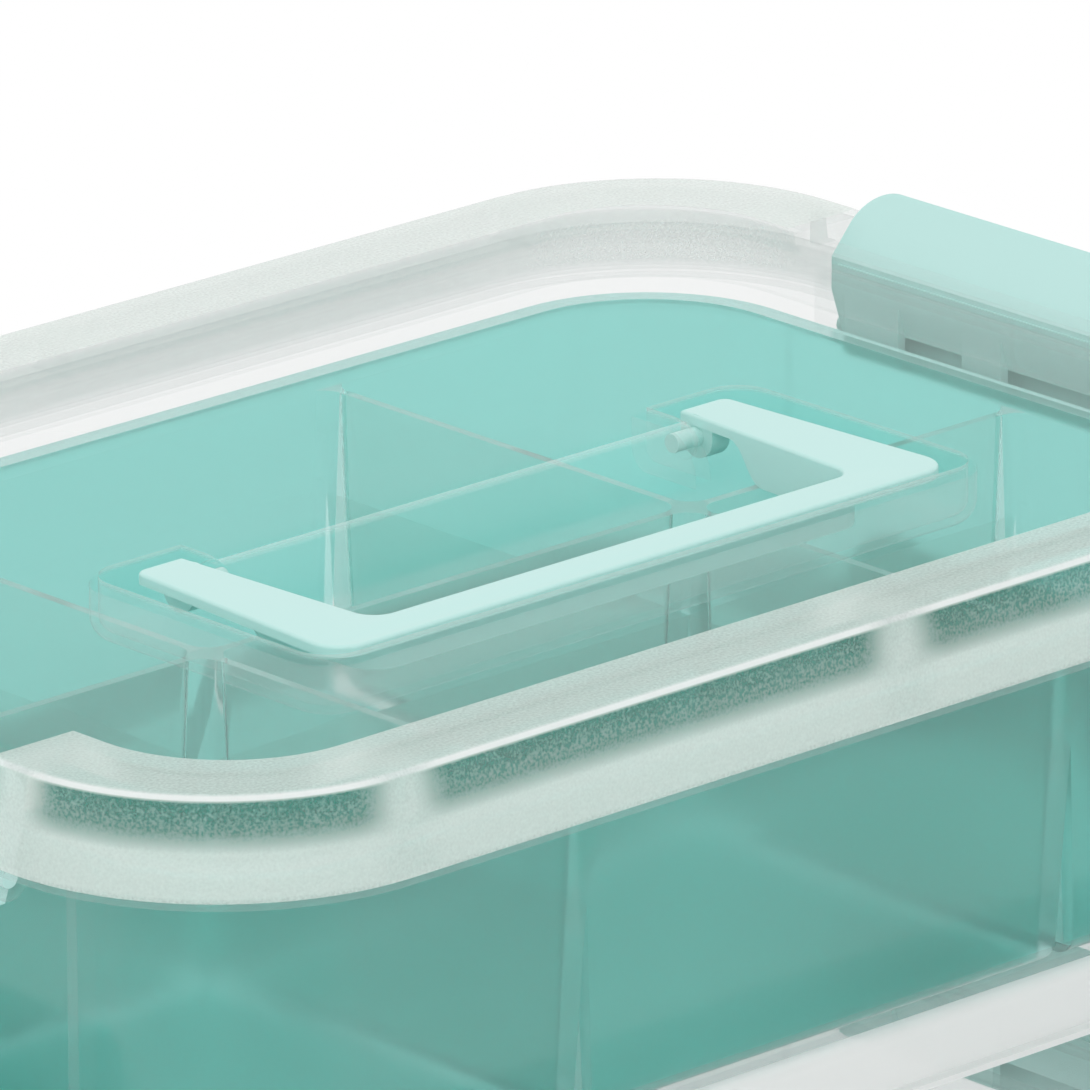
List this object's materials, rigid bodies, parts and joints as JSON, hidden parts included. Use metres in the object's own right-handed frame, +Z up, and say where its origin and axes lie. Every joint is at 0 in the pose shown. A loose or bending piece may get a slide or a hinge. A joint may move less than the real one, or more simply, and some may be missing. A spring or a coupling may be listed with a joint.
{
  "type": "stacking art supply box",
  "caption": "Clear stacking box for art supplies with a divided tray, a lid with a frosted rim and a folding carry handle, and hinged end latches.",
  "frame": {"origin": "on the surface it stands on, under the middle of the box", "axes": "+Z up, +X along the long side from latch to latch, -Y to the front where the grip lies folded"},
  "size_m": [0.3696, 0.26, 0.2581],
  "materials": {
    "clear_lid": "clear polypropylene with a frosted rim",
    "clear_box": "clear polypropylene",
    "teal_tray": "tinted translucent polypropylene",
    "mint_handle": "opaque satin polypropylene",
    "mint_latch": "opaque satin polypropylene"
  },
  "bodies": {
    "lid": {"lid": "clear_lid"},
    "carry_handle": {"carry_handle": "mint_handle"},
    "divided_tray": {"divided_tray": "teal_tray"},
    "lower_box": {"lower_box": "clear_box"},
    "middle_box": {"middle_box": "clear_box"},
    "upper_box": {"upper_box": "clear_box"},
    "lower_latch_left": {"lower_latch_left": "mint_latch"},
    "lower_latch_right": {"lower_latch_right": "mint_latch"},
    "middle_latch_left": {"middle_latch_left": "mint_latch"},
    "middle_latch_right": {"middle_latch_right": "mint_latch"},
    "upper_latch_left": {"upper_latch_left": "mint_latch"},
    "upper_latch_right": {"upper_latch_right": "mint_latch"}
  },
  "joints": [
    {"name": "middle_box_lift", "type": "slide", "parent": "lower_box", "child": "middle_box", "axis": [0, 0, 1], "range_m": [0, 0.12]},
    {"name": "upper_box_lift", "type": "slide", "parent": "middle_box", "child": "upper_box", "axis": [0, 0, 1], "range_m": [0, 0.12]},
    {"name": "lid_lift", "type": "slide", "parent": "upper_box", "child": "lid", "axis": [0, 0, 1], "range_m": [0, 0.16]},
    {"name": "tray_lift", "type": "slide", "parent": "upper_box", "child": "divided_tray", "axis": [0, 0, 1], "range_m": [0, 0.08]},
    {"name": "handle_swing", "type": "hinge", "parent": "lid", "child": "carry_handle", "pos_m": [0, 0, 0.2441], "axis": [-1, 0, 0], "range_deg": [0, 95]},
    {"name": "lower_latch_left_swing", "type": "hinge", "parent": "lower_box", "child": "lower_latch_left", "pos_m": [-0.1772, 0, 0.0743], "axis": [0, -1, 0], "range_deg": [0, 115]},
    {"name": "lower_latch_right_swing", "type": "hinge", "parent": "lower_box", "child": "lower_latch_right", "pos_m": [0.1772, 0, 0.0743], "axis": [0, 1, 0], "range_deg": [0, 115]},
    {"name": "middle_latch_left_swing", "type": "hinge", "parent": "middle_box", "child": "middle_latch_left", "pos_m": [-0.1772, 0, 0.1513], "axis": [0, -1, 0], "range_deg": [0, 115]},
    {"name": "middle_latch_right_swing", "type": "hinge", "parent": "middle_box", "child": "middle_latch_right", "pos_m": [0.1772, 0, 0.1513], "axis": [0, 1, 0], "range_deg": [0, 115]},
    {"name": "upper_latch_left_swing", "type": "hinge", "parent": "upper_box", "child": "upper_latch_left", "pos_m": [-0.1772, 0, 0.2283], "axis": [0, -1, 0], "range_deg": [0, 115]},
    {"name": "upper_latch_right_swing", "type": "hinge", "parent": "upper_box", "child": "upper_latch_right", "pos_m": [0.1772, 0, 0.2283], "axis": [0, 1, 0], "range_deg": [0, 115]}
  ],
  "couplings": [
    {"joint": "tray_lift", "follows": "lid_lift", "ratio": 0.5}
  ]
}
